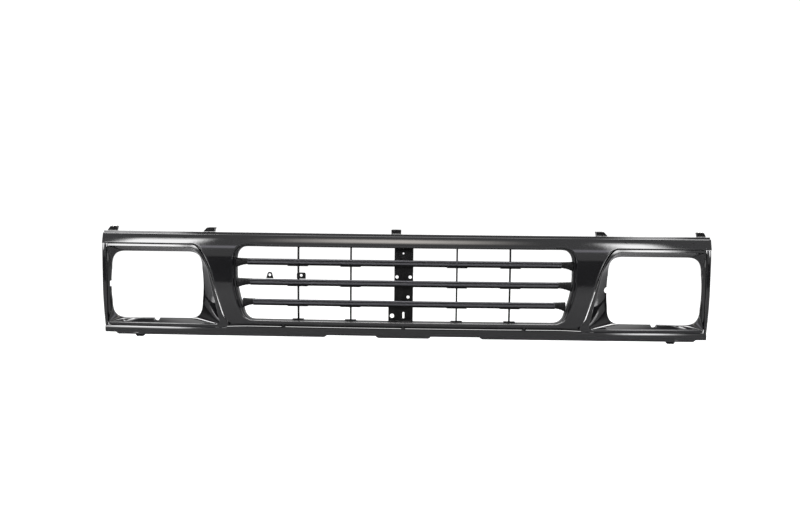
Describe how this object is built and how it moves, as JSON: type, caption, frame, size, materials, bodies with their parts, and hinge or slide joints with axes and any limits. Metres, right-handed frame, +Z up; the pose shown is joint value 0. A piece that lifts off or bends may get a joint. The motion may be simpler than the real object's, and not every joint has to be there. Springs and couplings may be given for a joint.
{
  "type": "vehicle front grille",
  "caption": "Gloss black front grille with a rectangular headlamp opening at each end and a slatted centre window with graphite blades.",
  "frame": {"origin": "centre of the assembly's box", "axes": "+X to the right of a viewer who faces the front, +Y into the vehicle, +Z up"},
  "size_m": [1.26, 0.0644, 0.231],
  "materials": {
    "gloss_black": "deep gloss black paint over moulded plastic, with a faint orange peel",
    "satin_graphite": "satin metallic graphite paint",
    "raw_black": "unpainted black plastic with a fine moulded grain",
    "zinc": "bright zinc plate, slightly brushed"
  },
  "bodies": {
    "root": {"badge_ear_inner": "raw_black", "badge_ear_outer": "raw_black", "bezel_screw_left_bottom_inner": "zinc", "bezel_screw_left_bottom_outer": "zinc", "bezel_screw_left_top_inner": "zinc", "bezel_screw_left_top_outer": "zinc", "bezel_screw_right_bottom_inner": "zinc", "bezel_screw_right_bottom_outer": "zinc", "bezel_screw_right_top_inner": "zinc", "bezel_screw_right_top_outer": "zinc", "centre_bracket": "raw_black", "end_post_left": "gloss_black", "end_post_right": "gloss_black", "lamp_bezel_left": "gloss_black", "lamp_bezel_right": "gloss_black", "locating_peg_left": "raw_black", "locating_peg_right": "raw_black", "rib_inner_left": "raw_black", "rib_inner_right": "raw_black", "rib_outer_left": "raw_black", "rib_outer_right": "raw_black", "slat_foot_lower_left": "raw_black", "slat_foot_lower_right": "raw_black", "slat_foot_middle_left": "raw_black", "slat_foot_middle_right": "raw_black", "slat_foot_upper_left": "raw_black", "slat_foot_upper_right": "raw_black", "slat_lower": "satin_graphite", "slat_middle": "satin_graphite", "slat_upper": "satin_graphite", "spring_nut_left": "zinc", "spring_nut_right": "zinc", "surround": "gloss_black", "tab_centre": "raw_black", "tab_end_left": "raw_black", "tab_end_right": "raw_black", "tab_inner_left": "raw_black", "tab_inner_right": "raw_black", "valance": "gloss_black", "valance_screw_1": "zinc", "valance_screw_2": "zinc", "valance_screw_3": "zinc"}
  },
  "joints": []
}
